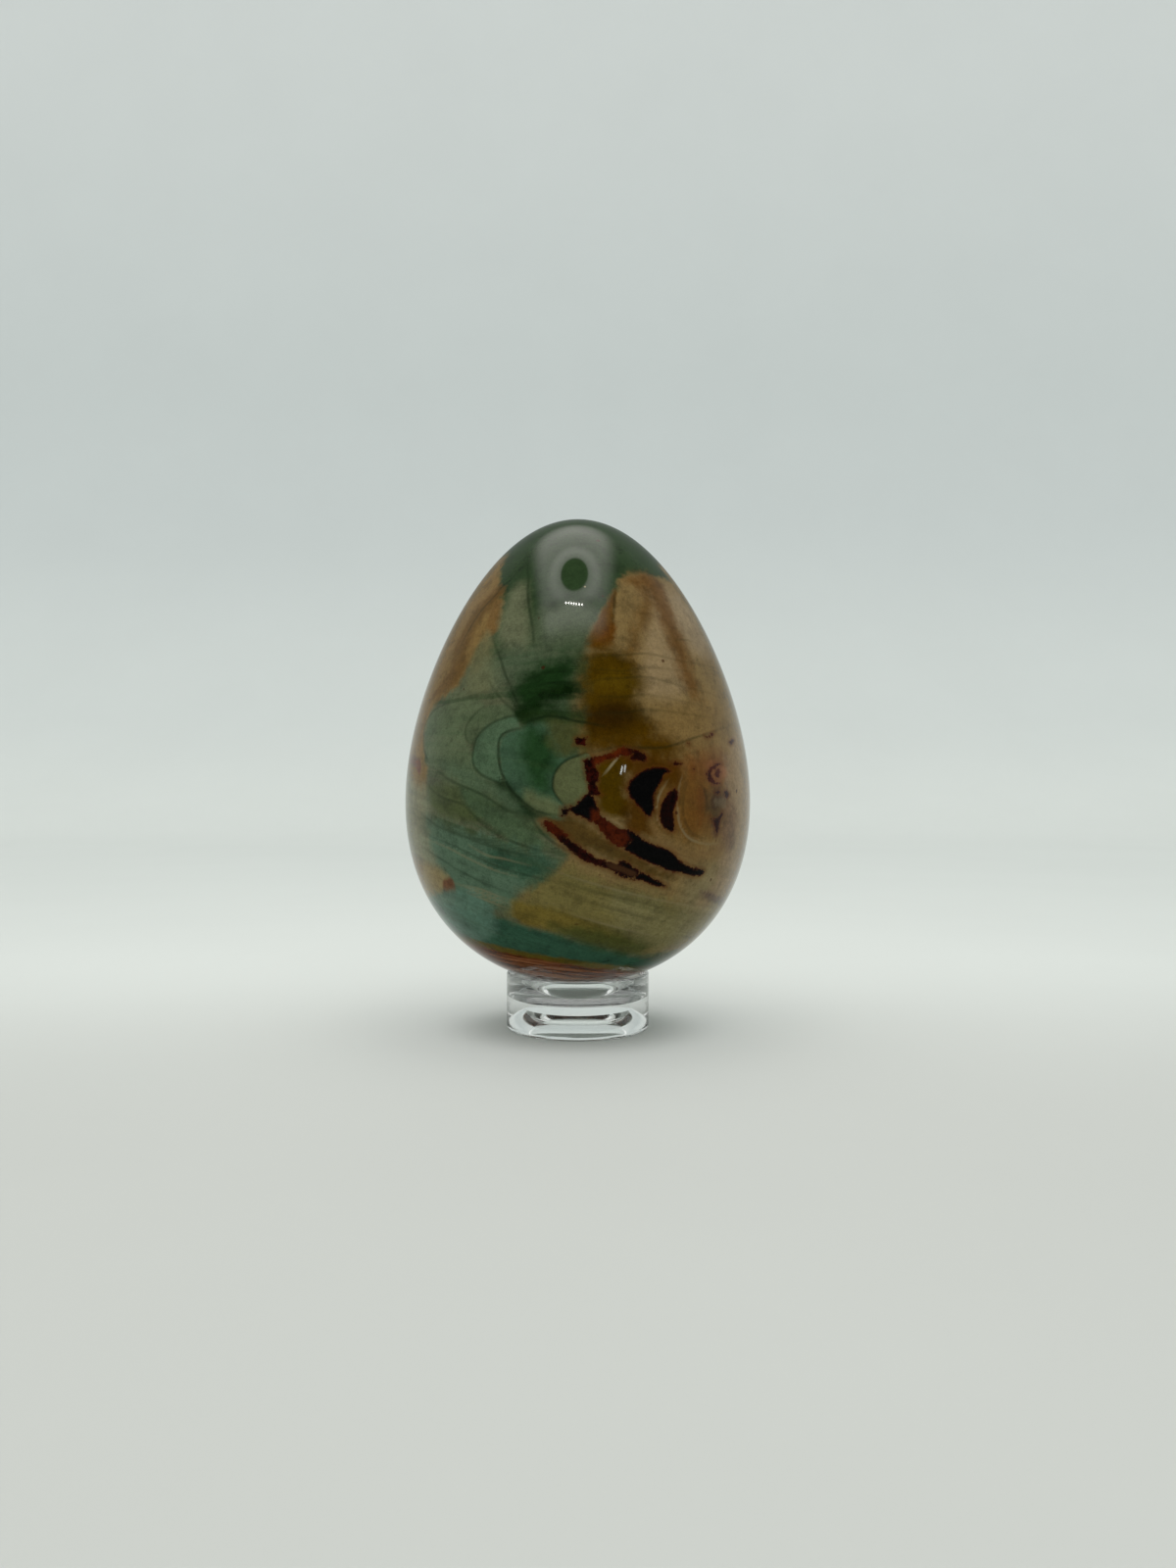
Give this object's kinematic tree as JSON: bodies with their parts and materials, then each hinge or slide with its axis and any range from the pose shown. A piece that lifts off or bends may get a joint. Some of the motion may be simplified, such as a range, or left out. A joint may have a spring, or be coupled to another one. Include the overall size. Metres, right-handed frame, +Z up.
{
  "type": "stone egg on ring stand",
  "caption": "Polished banded stone egg standing blunt end down on a short clear ring with a dished seat; the egg lifts straight off.",
  "frame": {"origin": "centre of the ring's underside, on the surface it stands on", "axes": "+Z up along the axis that the ring and the egg share; -Y towards the side the picture shows, +X to the right as seen from there"},
  "size_m": [0.0602, 0.0602, 0.0893],
  "materials": {
    "clear_acrylic": "clear, polished",
    "polished_stone": "highly polished, banded green, tan and red-brown"
  },
  "bodies": {
    "ring_stand": {"acrylic_ring_stand": "clear_acrylic"},
    "egg": {"stone_egg": "polished_stone"}
  },
  "joints": [
    {"name": "egg_lift", "type": "slide", "parent": "ring_stand", "child": "egg", "axis": [0, 0, 1], "range_m": [0, 0.04]}
  ]
}
